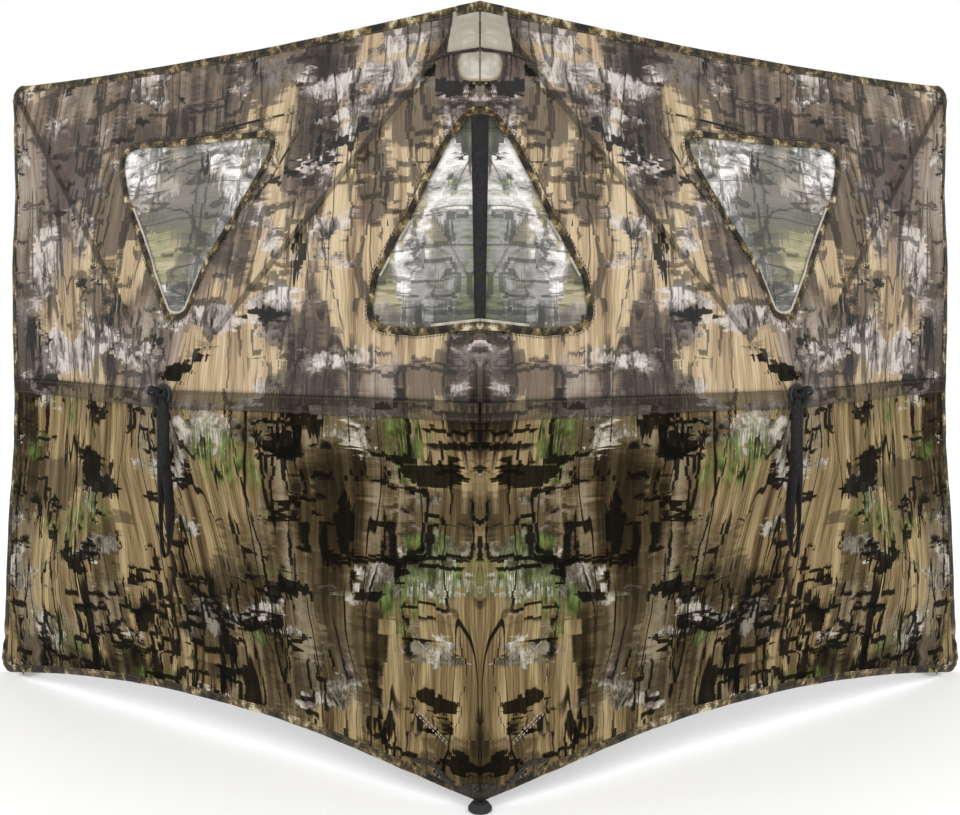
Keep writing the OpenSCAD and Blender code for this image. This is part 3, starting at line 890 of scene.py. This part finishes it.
def cloth():
    """The two sheets, each cut in four quarters, with the windows left out."""
    outline = resample(edge_line(), GRID, closed=True)
    side_line = resample(SIDE_LINE, GRID * 0.8, closed=True)
    mid_line = resample(MID_LINE, GRID * 0.8)
    upright = resample([(HUB_U, float(hem(HUB_U))), (HUB_U, float(top_edge(HUB_U)))], GRID)
    level = resample([(0.0, SEAM_Z), (float(outer_edge(SEAM_Z)), SEAM_Z)], GRID)
    lines = [(side_line, True), (mid_line, False), (upright, False), (level, False)]
    uz, faces = triangulated(outline, lines, GRID)
    middle = middles(uz, faces)
    kept = ~(inside(side_line, middle) | inside(MID_HOLE, middle))
    names = np.array([quarter_of(u, z) for u, z in middle])
    for quarter in QUARTERS:
        part, part_faces = chosen_part(uz, faces, kept & (names == quarter))
        u, z = part.T
        face, back = (MESH, MESH_BACK) if quarter.startswith("upper") else (SKIRT, LINING)
        both(f"{quarter}_cloth", quarter, (u, height(u, z), z), part_faces, face, cloth_slot(quarter),
             CLOTH_T, -1, back, stands_for=f"{quarter}_fabric")


# ---- netting


NET_BEND = 0.009
NET_SAG = 0.0035


def net_points(side, s, z, lift=0.0):
    """Points of the row frame on the netting, s out from the spine. It hangs a little slack behind the
    cloth, and one sheet rounds the spine in a soft bend."""
    s, z = np.asarray(s, float), np.asarray(z, float)
    back = np.hypot(s * U.y, NET_BEND)
    tangent = np.stack([np.full_like(s, U.x), s * U.y**2 / back], 1)
    tangent /= np.linalg.norm(tangent, axis=1)[:, None]
    uz = np.stack([s, z], 1)
    slack_in = np.zeros(len(s))
    for line, opening in ((SIDE_LINE + SIDE_LINE[:1], SIDE_LINE), (MID_LINE, MID_HOLE)):
        away = distance_to_line(s, z, line)
        slack_in += inside(opening, uz) * NET_SAG * (1 - np.exp(-away / 0.04))
    folds = 0.0009 * noise(s * 30, z * 14, 61)
    drop = height(s, z) - CLOTH_T - 0.0010 - slack_in * (1 + folds / 0.002) + lift
    points = np.stack([s * U.x + drop * tangent[:, 1], back - drop * tangent[:, 0], z], 1)
    return points * (-1, 1, 1) if side == "left" else points


def netting():
    """The shoot-through netting behind the windows."""
    wide = parallel(resample(SIDE_LINE, 0.006, closed=True), -NET_LAP, closed=True)
    split = [(HUB_U, min(p[1] for p in wide) + 0.0004), (HUB_U, max(p[1] for p in wide) - 0.0004)]
    uz, faces = triangulated(wide, [(resample(split, 0.01), False)], GRID * 1.2)
    outer = middles(uz, faces)[:, 0] > HUB_U
    net_piece("side_net_outer", "upper_outer", *chosen_part(uz, faces, outer))
    net_piece("side_net_inner", "upper_inner", *chosen_part(uz, faces, ~outer))
    wide = parallel(resample(MID_LINE, 0.006), -NET_LAP)
    wide[0], wide[-1] = (0.0, wide[0][1]), (0.0, wide[-1][1])
    uz, faces = triangulated(resample(wide, 0.006, closed=True), [], GRID * 1.2)
    net_piece("mid_window_net", "upper_inner", uz, faces)


def net_piece(name, quarter, uz, faces):
    for side in SIDES:
        points = net_points(side, uz[:, 0], uz[:, 1])
        obj = new_object(name.replace("window_", "") + "ting", side, points, faces, NET)
        thicken(obj, NET_T, 0)
        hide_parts(f"{side}_{name}")
        fold_with(obj, side, quarter)


def net_cords():
    """Thin cords and seams that lie on the netting."""
    cords = (("mid_cord_low", "upper_inner", ((0.069, 0.702), (0.0206, 0.624)), 0.0012),
             ("mid_cord_high", "upper_inner", ((0.0117, 0.768), (0.0355, 0.729)), 0.0010),
             ("side_net_seam", "upper_inner", ((0.4546, 0.800), (0.4546, 0.714)), 0.0008))
    for name, quarter, ends, width in cords:
        line = np.array(resample(ends, 0.006))
        for side in SIDES:
            path = net_points(side, line[:, 0], line[:, 1], 0.0008)
            facing = np.tile([1.0, 0.0, 0.0], (len(path), 1))
            verts, faces = ribbon(path, facing, width, width)
            obj = new_object(name, side, np.stack(verts, 1), faces, GREY_CORD, solid=True)
            fold_with(obj, side, quarter)


# ---- sewn edges


def split_loop(loop, cut):
    """The two runs of an anticlockwise loop, outside and inside the upright u = cut, ended exactly on it."""
    start = next(i for i, p in enumerate(loop) if loop[i - 1][0] < cut <= p[0])
    loop = loop[start:] + loop[:start]
    turn = next(i for i, p in enumerate(loop) if p[0] < cut)

    def crossing(a, b):
        return cut, a[1] + (b[1] - a[1]) * (cut - a[0]) / (b[0] - a[0])

    low, high = crossing(loop[-1], loop[0]), crossing(loop[turn - 1], loop[turn])
    return [low] + loop[:turn] + [high], [high] + loop[turn:] + [low]


def parallel(line, offset, closed=False):
    """A line moved sideways in (u, z); positive is to the left of its direction."""
    moved = np.asarray(line, float) + offset * to_left(directions(line, closed))
    return [tuple(p) for p in moved]


def run_along(points):
    """Distance along a line at each of its points."""
    return np.r_[0, np.cumsum(np.linalg.norm(np.diff(points, axis=0), axis=1))]


def wavering(line, amount, seed):
    """The same line, a little uneven, as sewing is."""
    pts = np.asarray(line, float)
    run = run_along(pts)
    fade = np.clip(np.minimum(run, run[-1] - run) / 0.02, 0, 1)
    shift = amount * noise(run * 28 + seed, seed, 41) * fade
    return [tuple(p) for p in pts + shift[:, None] * to_left(directions(pts))]


def tape(name, quarter, line, profile, material, slot, lift=0.0):
    """A bound edge or strip of webbing sewn along a line of the cloth, on both panels."""
    both(name, quarter, *sweep(line, profile, lift), material, slot)


FACING = flat_band(0.0050, 0.0006)
STITCH, STITCH_SPACE, STITCH_W = 0.0034, 0.0018, 0.0009
STITCH_FACES = ((0, 2, 3, 1), (2, 4, 5, 3), (4, 6, 7, 5), (8, 9, 10, 11), (0, 1, 9, 8),
                (6, 11, 10, 7), (0, 8, 11, 6, 4, 2), (1, 3, 5, 7, 10, 9))


def stitches(name, quarter, lines, lift, material=THREAD):
    """Rows of thread on both panels: each stitch is a small rounded bar on the cloth."""
    rows = []
    for line in lines:
        pts = np.asarray(line, float)
        run = run_along(pts)
        starts = np.arange(STITCH_SPACE / 2, run[-1] - STITCH, STITCH + STITCH_SPACE)
        a, b = (np.stack([np.interp(s, run, xs) for xs in pts.T], 1) for s in (starts, starts + STITCH))
        cross = to_left((b - a) / np.linalg.norm(b - a, axis=1)[:, None]) * STITCH_W / 2
        base = height(*((a + b) / 2).T) + lift
        for t, rise in ((0.0, 0.0), (0.25, 0.0005), (0.75, 0.0005), (1.0, 0.0)):
            for sign in (-1, 1):
                rows.append(np.column_stack([a + (b - a) * t + cross * sign, base + rise]))
        for end, sign in ((a, -1), (a, 1), (b, 1), (b, -1)):
            rows.append(np.column_stack([end + cross * sign, base - 0.0004]))
    blocks = [np.stack(rows[i:i + 12], 1).reshape(-1, 3) for i in range(0, len(rows), 12)]
    points = np.vstack(blocks)
    faces = [tuple(12 * i + k for k in f) for i in range(len(points) // 12) for f in STITCH_FACES]
    both(name, quarter, points.T[[0, 2, 1]], faces, material, "webbing", flat=True)


def patch(name, quarter, outline, lift, material, slot, thick=PATCH_T):
    """A piece of cloth sewn flat on the panel, cut to an outline in (u, z)."""
    uz, faces = triangulated(resample(outline, 0.005, closed=True), [], 0.005)
    u, z = uz.T
    both(name, quarter, (u, height(u, z) + lift, z), faces, material, slot, thick)


def outline_runs():
    """The outer edge of a panel, one run for each quarter, anticlockwise."""
    whole = edge_line()
    first = min(i for i, p in enumerate(whole) if p[0] > HUB_U)
    second = min(i for i, p in enumerate(whole) if p[0] > HUB_U and p[1] > SEAM_Z)
    third = min(i for i, p in enumerate(whole) if p[1] > SEAM_Z and p[0] < HUB_U)
    mid_low, mid_top = (HUB_U, float(hem(HUB_U))), (HUB_U, float(top_edge(HUB_U)))
    mid_side = (float(outer_edge(SEAM_Z)), SEAM_Z)
    return {"lower_inner": whole[:first] + [mid_low],
            "lower_outer": [mid_low] + whole[first:second] + [mid_side],
            "upper_outer": [mid_side] + whole[second:third] + [mid_top],
            "upper_inner": [mid_top] + whole[third:]}


def edge_bindings():
    for quarter, line in outline_runs().items():
        line = resample(line, 0.008)
        tape(f"{quarter}_binding", quarter, parallel(line, BIND_IN), oval(BIND_W, BIND_T), BINDING,
             cloth_slot(quarter), -CLOTH_T / 2)
        inner = parallel(line, BIND_IN + BIND_W / 2 - 0.0022)
        stitches(f"{quarter}_binding_thread", quarter, [inner], BIND_T / 2 - 0.0006)


def seam_band():
    """The mesh is lapped over the skirt in a level band with two rows of stitching."""
    low, high = SEAM_Z - 0.0235, SEAM_Z - 0.0002
    runs = {"lower_inner": (0.0008, HUB_U), "lower_outer": (HUB_U, float(outer_edge(SEAM_Z)) - 0.004)}
    for quarter, (u0, u1) in runs.items():
        us, zs = np.linspace(u0, u1, int((u1 - u0) / 0.006)), np.linspace(low, high, 6)
        grid_u, grid_z = np.meshgrid(us, zs)
        grid_z = grid_z + 0.0009 * noise(grid_u * 22, 3.0, 51) * (grid_z < high)
        place = grid_u, height(grid_u, grid_z) + 0.0010, grid_z
        faces = grid_faces(*grid_u.shape)
        both(f"{quarter}_seam_band", quarter, place, faces, SEAM_CLOTH_AND_SHADE, "mesh_fabric", PATCH_T)
        rows = [resample([(u0 + 0.002, z), (u1 - 0.002, z)], 0.01) for z in (low + 0.003, high - 0.0030)]
        stitches(f"{quarter}_seam_thread", quarter, rows, 0.0015)


def window_rims():
    outer_run, inner_run = split_loop(wavering(resample(SIDE_LINE, 0.004, closed=True), 0.0010, 3), HUB_U)
    mid_line = wavering(resample(MID_LINE, 0.004), 0.0010, 8)
    mid_line[0], mid_line[-1] = (0.0, mid_line[0][1]), (0.0, mid_line[-1][1])
    runs = (("side_rim_outer", "upper_outer", outer_run, ((0.0, 0.44),)),
            ("side_rim_inner", "upper_inner", inner_run, ((0.84, 1.0),)),
            ("mid_rim", "upper_inner", mid_line, ((0.0, 0.14), (0.46, 0.53), (0.57, 0.63))))
    for name, quarter, line, shares in runs:
        centre = parallel(line, -RIM_W * 0.32)
        tape(name, quarter, centre, oval(RIM_W, 0.0034), BINDING, "mesh_fabric", 0.0006)
        for i, (first, last) in enumerate(shares):
            part = parallel(line, 0.0024)[int(first * len(line)):int(last * len(line))]
            tape(f"{name}_facing_{i + 1}", quarter, part, FACING, PALE_CLOTH, "netting", 0.0004)
        stitches(f"{name}_thread", quarter, [parallel(line, -RIM_W * 0.82 - 0.0022)], 0.0003)
    cover = round_corners([(0.4680, 0.8262), (0.3550, 0.8360), (0.2840, 0.8395),
                           (0.2815, 0.8120), (0.3208, 0.7559), (0.3660, 0.7140)], 0.014)
    tape("window_cover_edge", "upper_inner", resample(cover, 0.005), oval(0.0030, 0.0018), BINDING,
         "mesh_fabric", 0.0004)


def spine_tapes():
    """Narrow tape on the sheltered side, where the two panels' cloth is joined along the spine."""
    runs = (("lower_inner", HEM_SPINE + 0.006, SEAM_Z), ("upper_inner", SEAM_Z, MID_WINDOW[0][1] - 0.004),
            ("upper_inner", MID_WINDOW[-1][1] + 0.005, TOP - 0.008))
    for i, (quarter, z0, z1) in enumerate(runs):
        line = resample([(0.0099, z0), (0.0099, z1)], 0.01)
        tape(f"spine_tape_{i + 1}", quarter, line, flat_band(0.011, 0.0010), WEBBING, "webbing", -BEHIND)


def top_pocket():
    """Pocket over the top of the spine, with its seams, hem and the pale tab below it."""
    low, high = 0.886, TOP - 0.006
    half = 0.0435
    outline = [(0.0008, low), (half + 0.001, low + 0.0005), (half - 0.002, high), (0.0008, high + 0.0005)]
    patch("top_pocket", "upper_inner", outline, 0.0009, POCKET, "mesh_fabric")
    side = resample([(half + 0.001, low), (half - 0.001, (low + high) / 2), (half - 0.002, high)], 0.006)
    tape("top_pocket_seam", "upper_inner", side, flat_band(0.0024, 0.0012), DARK_TAPE, "mesh_fabric", 0.0016)
    hem_line = round_corners([(0.0002, low + 0.0005), (half, low - 0.0015), (0.075, 0.8775)], 0.02)
    tape("top_pocket_hem", "upper_inner", resample(hem_line, 0.006), flat_band(0.0030, 0.0014), DARK_TAPE,
         "mesh_fabric", 0.0018)
    cap = resample([(0.0002, TOP - 0.0052), (0.034, TOP - 0.0060)], 0.006)
    tape("top_cap", "upper_inner", cap, oval(0.0135, 0.0046), BINDING, "mesh_fabric", 0.0003)
    tab = round_corners([(0.0006, 0.8500), (0.0240, 0.8530), (0.0285, 0.8730), (0.0250, 0.8835)], 0.014)
    patch("top_tab", "upper_inner", tab + [(0.0006, 0.8835)], 0.0008, PALE_CLOTH, "mesh_fabric", 0.0006)
    tape("top_tab_edge", "upper_inner", resample(tab, 0.004), oval(0.0022, 0.0012), TAN_TAPE,
         "mesh_fabric", 0.0012)


def foot_webbing():
    """Dark patch over the foot of the spine, with a curved band and rows of stitching beside it."""
    corner = [(0.0008, 0.0125), (0.0340, 0.0165), (0.0240, 0.0255), (0.0008, 0.0320)]
    patch("foot_patch", "lower_inner", corner, 0.0016, DARK_TAPE, "webbing", 0.0012)
    band = round_corners([(0.099, 0.0412), (0.0675, 0.0440), (0.0506, 0.0311), (0.0330, 0.0195)], 0.02)
    tape("foot_band", "lower_inner", resample(band, 0.004), flat_band(0.0062, 0.0014), DARK_TAPE,
         "webbing", 0.0010)
    for name, ends in (("high", ((0.0830, 0.1040), (0.0416, 0.0709))),
                       ("low", ((0.0644, 0.0413), (0.0325, 0.0197)))):
        line = resample(ends, 0.005)
        stitches(f"foot_thread_{name}", "lower_inner", [line, parallel(line, 0.0034)], 0.0004, PALE_CLOTH)


# ---- straps


def curve(points, per_span=8):
    """A smooth line through points in space."""
    pts = np.asarray(points, float)
    pts = np.vstack([2 * pts[0] - pts[1], pts, 2 * pts[-1] - pts[-2]])
    t = np.linspace(0, 1, per_span, endpoint=False)[:, None]
    spans = [0.5 * (2 * b + (c - a) * t + (2 * a - 5 * b + 4 * c - d) * t**2 + (3 * b - a - 3 * c + d) * t**3)
             for a, b, c, d in zip(pts, pts[1:], pts[2:], pts[3:])]
    return np.vstack(spans + [pts[-2:-1]])


def turned(angles, along):
    """Level directions turned from the first axis to the second by angles in degrees spread along a path."""
    at_share = np.linspace(0, 1, len(angles))
    share = np.linspace(0, 1, along)
    a = np.radians(np.interp(share, at_share, angles))
    return np.stack([np.cos(a), np.sin(a), np.zeros(along)], 1)


def hub_axes(points):
    """Panel coordinates of steps (towards the spine, away from the viewer in front, up)."""
    s, y, z = np.asarray(points, float).T
    return np.stack([y * U.y - s * U.x, -y * U.x - s * U.y, z], 1)


def pull_strap():
    """A doubled length of webbing, knotted over the hub's button, that opens to a narrow loop."""
    low = STRAP_LOW - HUB_Z - 0.004
    path = curve([(0.004, -0.0010, -0.004), (0.0072, -0.0016, -0.022), (0.0082, -0.0014, -0.055),
                  (0.0080, -0.0012, -0.095), (0.0062, -0.0010, -0.130), (0.0056, -0.0006, -0.170),
                  (0.0074, 0.0, low + 0.012), (0.0120, 0.0, low), (0.0166, 0.0, low + 0.013),
                  (0.0174, 0.0006, -0.165), (0.0152, 0.0012, -0.130), (0.0102, 0.0014, -0.095),
                  (0.0086, 0.0016, -0.055), (0.0076, 0.0014, -0.022), (0.004, 0.0010, -0.004)])
    turns = (0, 4, 6, 24, 72, 88, 90, 90, 86, 52, 46, 20, 8, 4, 0)
    count = len(path)
    share = np.linspace(0, 1, count)
    width = 0.015 - 0.005 * np.exp(-np.minimum(share, 1 - share) / 0.03)
    hub = HUB_U, KNOT_N, HUB_Z
    strap = ribbon(hub_axes(path) + hub, hub_axes(turned(turns, count)), width, 0.0015)
    turn = np.linspace(0, 2 * math.pi, 72, endpoint=False)
    knot = np.stack([0.0046 * (np.sin(turn) + 2 * np.sin(2 * turn)), -0.0036 * np.sin(3 * turn),
                     0.0040 * (np.cos(turn) - 2 * np.cos(2 * turn))], 1)
    outward = knot / np.linalg.norm(knot, axis=1)[:, None] + (0, -0.7, 0)
    across = np.cross(directions(knot, True), outward)
    tied = ribbon(hub_axes(knot) + hub, hub_axes(across), 0.0085, 0.0026, closed=True)
    for name, made, node in (("strap_loop", strap, "pull_strap"), ("strap_knot", tied, "")):
        both(name, "strap", *made, WEBBING, "webbing", stiff=True, stands_for=node, solid=True)


def centre_strap():
    """Tapered strap down the middle of the centre window, in front of the netting."""
    low, high = CENTRE_STRAP
    z = np.linspace(high.z + 0.012, low.z - 0.008, 60)
    share = (z - z[-1]) / (z[0] - z[-1])
    path = np.stack([np.zeros(60), 0.0036 - 0.0012 * np.sin(math.pi * share), z], 1)
    width = 0.013 + 0.008 * share + 0.0003 * noise(z * 60, 2.0, 71)
    verts, faces = ribbon(path, np.tile([1.0, 0.0, 0.0], (60, 1)), width, 0.0015)
    obj = new_object("window_strap", None, np.stack(verts, 1), faces, WEBBING, solid=True)
    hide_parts("centre_strap")
    ride_with(obj, "spine")
    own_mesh(obj)


# ---- sheltered side


def rod_point(quarter, reach):
    """(u, z) and n of a rod's centre line, reach being the distance from the hub in the panel's plane."""
    su, sz = quarter_signs(quarter)
    n = KNUCKLE_N + (TIP_N - KNUCKLE_N) * (reach - KNUCKLE_R) / (TIP_AWAY - KNUCKLE_R)
    return HUB_U + su * reach / ROOT2, HUB_Z + sz * reach / ROOT2, n


def tip_pockets():
    """Webbing pocket sewn over each rod's end, tight at the corner and open towards the hub. The lower
    inner rod has a socket in place of one."""
    across = np.linspace(-0.018, 0.018, 17)
    for quarter in QUARTERS[1:]:
        su, sz = quarter_signs(quarter)
        past = np.linspace(-0.024, 0.044, 24)
        reach = TIP_AWAY - past
        u, z, n = rod_point(quarter, reach)
        u, z = (a[:, None] + across[None, :] * k / ROOT2 for a, k in ((u, -sz), (z, su)))
        cloth_n = height(u, z) - BEHIND
        over = np.minimum(n[:, None] - BALL_R, cloth_n)
        hug = 1 - smooth(np.abs(across), 0.0062, 0.0135)
        n = cloth_n + (over - cloth_n) * hug[None, :] * smooth(past, -0.016, -0.005)[:, None]
        faces = grid_faces(*n.shape, su * sz < 0)
        both(f"{quarter}_pocket", quarter, (u, n, z), faces, WEBBING, "webbing", WEBBING_T, 1, stiff=True)


def rod_ties():
    """Loops of webbing that tie each rod to the cloth half way along."""
    for quarter in QUARTERS:
        su, sz = quarter_signs(quarter)
        for k, share in enumerate((0.42, 0.70)):
            u, z, n = rod_point(quarter, TIP_AWAY * share)
            near, far = float(height(u, z)) - BEHIND, n - TIE_ROOM
            turn = np.linspace(0, 2 * math.pi, 28, endpoint=False)
            side_step, rise = 0.0062 * np.cos(turn), (near - far) / 2 * np.sin(turn)
            path = np.stack([u - sz * side_step / ROOT2, (near + far) / 2 + rise,
                             z + su * side_step / ROOT2], 1)
            made = ribbon(path, np.tile([su, 0.0, sz], (28, 1)), TIE_W, WEBBING_T, closed=True)
            both(f"{quarter}_tie_{k + 1}", quarter, *made, WEBBING, "webbing", stiff=True, solid=True)


def plate(name, body, outline, hole, box, node):
    """A level piece of webbing, with its outline and hole in (u, -n) and its thickness from a box."""
    z, thick = (box[0].z + box[1].z) / 2, box[1].z - box[0].z
    points, faces = triangulated(resample(outline, 0.003, closed=True), [(hole, True)], 0.004)
    points, faces = chosen_part(points, faces, ~inside(hole, middles(points, faces)))
    droop = 0.0004 * noise(points[:, 0] * 120, points[:, 1] * 120, 81)
    place = points[:, 0], -points[:, 1], z + droop
    both(name, body, place, faces, WEBBING, "webbing", thick, stiff=True, stands_for=node)


def panel_uv(point):
    """(u, -n) of a point of the row frame on the right panel."""
    return point.dot(U), -point.dot(N)


def corner_webbing():
    """The gusset that holds the lower inner rod's socket, and the loop for a ground stake."""
    tip_u, tip_back = panel_uv(TIP)
    outline = round_corners([(0.006, 0.003), (0.016, 0.0015), (tip_u + 0.007, 0.0015),
                             (tip_u + 0.007, tip_back + 0.010), (0.016, 0.0118), (0.006, 0.006)], 0.003)
    hole = arc_points((tip_u, tip_back), 0.0022, 0, 345, 24)
    plate("foot_gusset", "panel_root", outline, hole, GUSSET, "corner_gusset")
    centre = (Vector(GROMMET[0]) + Vector(GROMMET[1])) / 2
    u, back = panel_uv(centre)
    outline = round_corners([(u, 0.002), (u + 0.013, 0.002), (u + 0.013, back + 0.0115),
                             (u - 0.013, back + 0.0115), (u - 0.013, 0.002), (u, 0.002)], 0.004)[:-1]
    hole = arc_points((u, back), 0.0070, 0, 350, 36)
    plate("stake_loop", "lower_outer", outline, hole, TAB, "stake_tab")


# ---- CAD nodes that stay

KEPT = {"rod": FIBREGLASS, "ferrule": STEEL, "cap": BLACK_NYLON, "hub_body": BLACK_NYLON,
        "hub_cover": BLACK_NYLON, "hub_pins": STEEL, "hub_bolt": STEEL, "hub_button": BLACK_NYLON,
        "tip_socket": BLACK_NYLON, "stake_grommet": BRASS, "foot_cap": RUBBER}


def finish_cad_nodes():
    for name, obj in frame["nodes"].items():
        for ending, material in KEPT.items():
            if name.endswith(ending):
                obj.data.materials.clear()
                obj.data.materials.append(material)


finish_cad_nodes()
cloth()
netting()
net_cords()
edge_bindings()
seam_band()
window_rims()
spine_tapes()
top_pocket()
foot_webbing()
pull_strap()
centre_strap()
tip_pockets()
rod_ties()
corner_webbing()

# ---- studio


FLOOR_HALF = 14.0
LIGHTS_AIM = Vector((0, 0.2, 0.45))
LAMPS = (("key", (-1.6, -2.6, 2.6), 30), ("fill", (2.2, -2.0, 1.8), 14))
LAMP_SIZE = 2.2


def studio():
    """Pale floor, even white surroundings and two soft lamps."""
    mesh = bpy.data.meshes.new("floor")
    a = FLOOR_HALF
    mesh.from_pydata([(-a, -a, 0), (a, -a, 0), (a, a, 0), (-a, a, 0)], [], [(0, 1, 2, 3)])
    floor = placed("floor", mesh)
    g = Graph("floor_paper")
    tone = g.mix(g.noise(g.place(), 3, 2), (247,) * 3, (251.6,) * 3)
    shader = g.principled(tone, 0.9)
    for name, value in (("Emission Color", (1, 1, 1, 1)), ("Emission Strength", 0.12)):
        shader.node.inputs[name].default_value = value
    mesh.materials.append(g.done(shader))
    world = bpy.data.worlds.new("studio")
    SCENE.world = world
    world.use_nodes = True
    for socket, value in zip(world.node_tree.nodes["Background"].inputs, ((1, 1, 1, 1), 1.0)):
        socket.default_value = value
    for name, place, power in LAMPS:
        light = bpy.data.lights.new(name, "AREA")
        light.size = LAMP_SIZE
        light.energy = power
        lamp = placed(name, light)
        lamp.location = place
        lamp.rotation_euler = (LIGHTS_AIM - Vector(place)).to_track_quat("-Z", "Y").to_euler()


CAMERA_AT = (0, -1.489, 0.578)
SENSOR, LENS = 36, 48.0
DROP = 0.0974


def camera():
    """Level camera in front of the spine, with the lens shifted down so that uprights stay upright."""
    data = bpy.data.cameras.new("camera")
    data.sensor_width, data.lens = SENSOR, LENS
    data.shift_y = -DROP
    obj = placed("camera", data)
    obj.location = CAMERA_AT
    obj.rotation_euler = (math.radians(90), 0, 0)
    SCENE.camera = obj


studio()
camera()
SCENE.view_settings.view_transform = "Standard"

bpy.context.view_layer.update()
